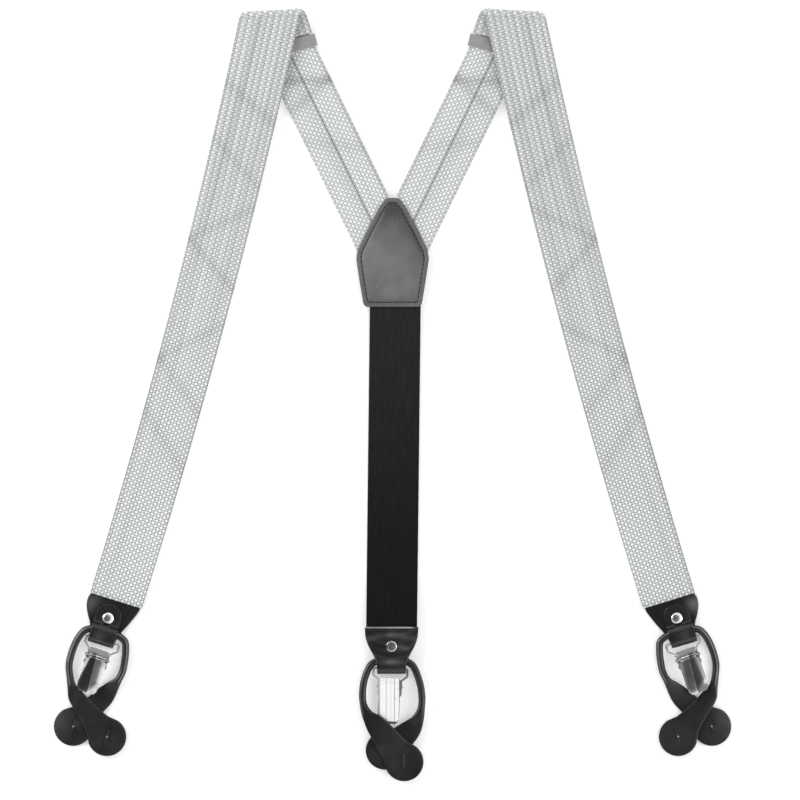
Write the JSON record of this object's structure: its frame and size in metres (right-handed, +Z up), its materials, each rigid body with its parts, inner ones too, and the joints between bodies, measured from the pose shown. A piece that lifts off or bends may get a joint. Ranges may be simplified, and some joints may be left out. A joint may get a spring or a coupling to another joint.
{
  "type": "suspenders",
  "caption": "Y-back suspenders laid flat: patterned ribbon straps, leather yoke patch, black elastic, and leather fittings with both button tabs and lever clips.",
  "frame": {"origin": "on the table, under the middle of the bounding box of the suspenders as laid flat", "axes": "+X across the wearer, +Y from the rear fitting towards the shoulders, +Z up from the table"},
  "size_m": [0.4646, 0.5308, 0.0098],
  "materials": {
    "patterned_fabric": "silver-grey jacquard with small white dots",
    "interlining": "plain stiffener",
    "black_leather": "smooth, soft sheen",
    "patch_leather": "glossy, padded, charcoal",
    "patch_padding": "foam",
    "elastic_webbing": "black ribbed elastic",
    "polished_metal": "polished nickel",
    "satin_metal": "satin nickel",
    "grip_rubber": "matte"
  },
  "bodies": {
    "root": {"y_patch_inner": "patch_leather", "y_patch_outer": "patch_leather", "y_patch_pad": "patch_padding", "elastic_strap": "elastic_webbing", "left_back_ribbon_sleeve": "patterned_fabric", "left_back_ribbon_core": "interlining", "right_back_ribbon_sleeve": "patterned_fabric", "right_back_ribbon_core": "interlining"},
    "left_adjuster": {"left_adjuster_frame": "satin_metal", "left_adjuster_pin": "satin_metal", "left_adjuster_flap": "patterned_fabric", "left_shoulder_fold": "patterned_fabric"},
    "left_adjuster_lever": {"left_adjuster_lever": "satin_metal"},
    "left_front_strap": {"left_front_ribbon_sleeve": "patterned_fabric", "left_front_ribbon_core": "interlining", "left_leather_tab": "black_leather", "left_rivet_cap": "polished_metal", "left_rivet_tube": "polished_metal"},
    "right_adjuster": {"right_adjuster_frame": "satin_metal", "right_adjuster_pin": "satin_metal", "right_adjuster_flap": "patterned_fabric", "right_shoulder_fold": "patterned_fabric"},
    "right_adjuster_lever": {"right_adjuster_lever": "satin_metal"},
    "right_front_strap": {"right_front_ribbon_sleeve": "patterned_fabric", "right_front_ribbon_core": "interlining", "right_leather_tab": "black_leather", "right_rivet_cap": "polished_metal", "right_rivet_tube": "polished_metal"},
    "rear_end": {"rear_leather_tab": "black_leather", "rear_rivet_cap": "polished_metal", "rear_rivet_tube": "polished_metal"},
    "left_loop": {"left_button_loop": "black_leather"},
    "left_clip": {"left_clip_frame": "polished_metal", "left_clip_pin": "polished_metal", "left_clip_pad": "grip_rubber"},
    "left_clip_jaw": {"left_clip_jaw": "polished_metal"},
    "left_clip_lever": {"left_clip_lever": "polished_metal"},
    "right_loop": {"right_button_loop": "black_leather"},
    "right_clip": {"right_clip_frame": "polished_metal", "right_clip_pin": "polished_metal", "right_clip_pad": "grip_rubber"},
    "right_clip_jaw": {"right_clip_jaw": "polished_metal"},
    "right_clip_lever": {"right_clip_lever": "polished_metal"},
    "rear_loop": {"rear_button_loop": "black_leather"},
    "rear_clip": {"rear_clip_frame": "polished_metal", "rear_clip_pin": "polished_metal", "rear_clip_pad": "grip_rubber"},
    "rear_clip_jaw": {"rear_clip_jaw": "polished_metal"},
    "rear_clip_lever": {"rear_clip_lever": "polished_metal"}
  },
  "joints": [
    {"name": "left_adjuster_slide", "type": "slide", "parent": "root", "child": "left_adjuster", "axis": [0.4399, -0.898, 0], "range_m": [-0.01, 0.08]},
    {"name": "left_adjuster_lever_turn", "type": "hinge", "parent": "left_adjuster", "child": "left_adjuster_lever", "pos_m": [-0.07394, 0.24098, 0.00065], "axis": [0.9703, 0.2419, 0], "range_deg": [0, 100]},
    {"name": "left_shoulder_turn", "type": "hinge", "parent": "left_adjuster", "child": "left_front_strap", "pos_m": [-0.084, 0.26071, 0.0067], "axis": [-0.9986, -0.0523, 0], "range_deg": [0, 180], "deforming": ["left_shoulder_fold"]},
    {"name": "right_adjuster_slide", "type": "slide", "parent": "root", "child": "right_adjuster", "axis": [-0.4399, -0.898, 0], "range_m": [-0.01, 0.08]},
    {"name": "right_adjuster_lever_turn", "type": "hinge", "parent": "right_adjuster", "child": "right_adjuster_lever", "pos_m": [0.07394, 0.24098, 0.00065], "axis": [0.9703, -0.2419, 0], "range_deg": [0, 100]},
    {"name": "right_shoulder_turn", "type": "hinge", "parent": "right_adjuster", "child": "right_front_strap", "pos_m": [0.084, 0.26071, 0.0067], "axis": [-0.9986, 0.0523, 0], "range_deg": [0, 180], "deforming": ["right_shoulder_fold"]},
    {"name": "elastic_stretch", "type": "slide", "parent": "root", "child": "rear_end", "axis": [0, -1, 0], "range_m": [0, 0.08], "deforming": ["elastic_strap"]},
    {"name": "left_loop_swing", "type": "hinge", "parent": "left_front_strap", "child": "left_loop", "pos_m": [-0.19627, -0.16334, 0.005], "axis": [0.9578, -0.2874, 0], "range_deg": [0, 20]},
    {"name": "left_clip_swing", "type": "hinge", "parent": "left_front_strap", "child": "left_clip", "pos_m": [-0.19848, -0.16863, 0.005], "axis": [-0.9455, 0.3256, 0], "range_deg": [0, 80]},
    {"name": "left_lever_open", "type": "hinge", "parent": "left_clip", "child": "left_clip_lever", "pos_m": [-0.20252, -0.18035, 0.0066], "axis": [-0.9455, 0.3256, 0], "range_deg": [0, 95]},
    {"name": "left_jaw_open", "type": "hinge", "parent": "left_clip", "child": "left_clip_jaw", "pos_m": [-0.20252, -0.18035, 0.0066], "axis": [-0.9455, 0.3256, 0], "range_deg": [0, 12]},
    {"name": "right_loop_swing", "type": "hinge", "parent": "right_front_strap", "child": "right_loop", "pos_m": [0.19627, -0.16334, 0.005], "axis": [0.9578, 0.2874, 0], "range_deg": [0, 20]},
    {"name": "right_clip_swing", "type": "hinge", "parent": "right_front_strap", "child": "right_clip", "pos_m": [0.19848, -0.16863, 0.005], "axis": [-0.9455, -0.3256, 0], "range_deg": [0, 80]},
    {"name": "right_lever_open", "type": "hinge", "parent": "right_clip", "child": "right_clip_lever", "pos_m": [0.20252, -0.18035, 0.0066], "axis": [-0.9455, -0.3256, 0], "range_deg": [0, 95]},
    {"name": "right_jaw_open", "type": "hinge", "parent": "right_clip", "child": "right_clip_jaw", "pos_m": [0.20252, -0.18035, 0.0066], "axis": [-0.9455, -0.3256, 0], "range_deg": [0, 12]},
    {"name": "rear_loop_swing", "type": "hinge", "parent": "rear_end", "child": "rear_loop", "pos_m": [-0.0007, -0.18249, 0.0048], "axis": [-1, 0, 0], "range_deg": [0, 30]},
    {"name": "rear_clip_swing", "type": "hinge", "parent": "rear_end", "child": "rear_clip", "pos_m": [-0.0013, -0.18819, 0.0048], "axis": [0.9986, -0.0523, 0], "range_deg": [0, 40]},
    {"name": "rear_lever_open", "type": "hinge", "parent": "rear_clip", "child": "rear_clip_lever", "pos_m": [-0.00195, -0.20057, 0.0032], "axis": [0.9986, -0.0523, 0], "range_deg": [0, 95]},
    {"name": "rear_jaw_open", "type": "hinge", "parent": "rear_clip", "child": "rear_clip_jaw", "pos_m": [-0.00195, -0.20057, 0.0032], "axis": [0.9986, -0.0523, 0], "range_deg": [0, 12]}
  ],
  "couplings": [
    {"joint": "left_jaw_open", "follows": "left_lever_open", "ratio": 0.12},
    {"joint": "right_jaw_open", "follows": "right_lever_open", "ratio": 0.12},
    {"joint": "rear_jaw_open", "follows": "rear_lever_open", "ratio": 0.12}
  ]
}
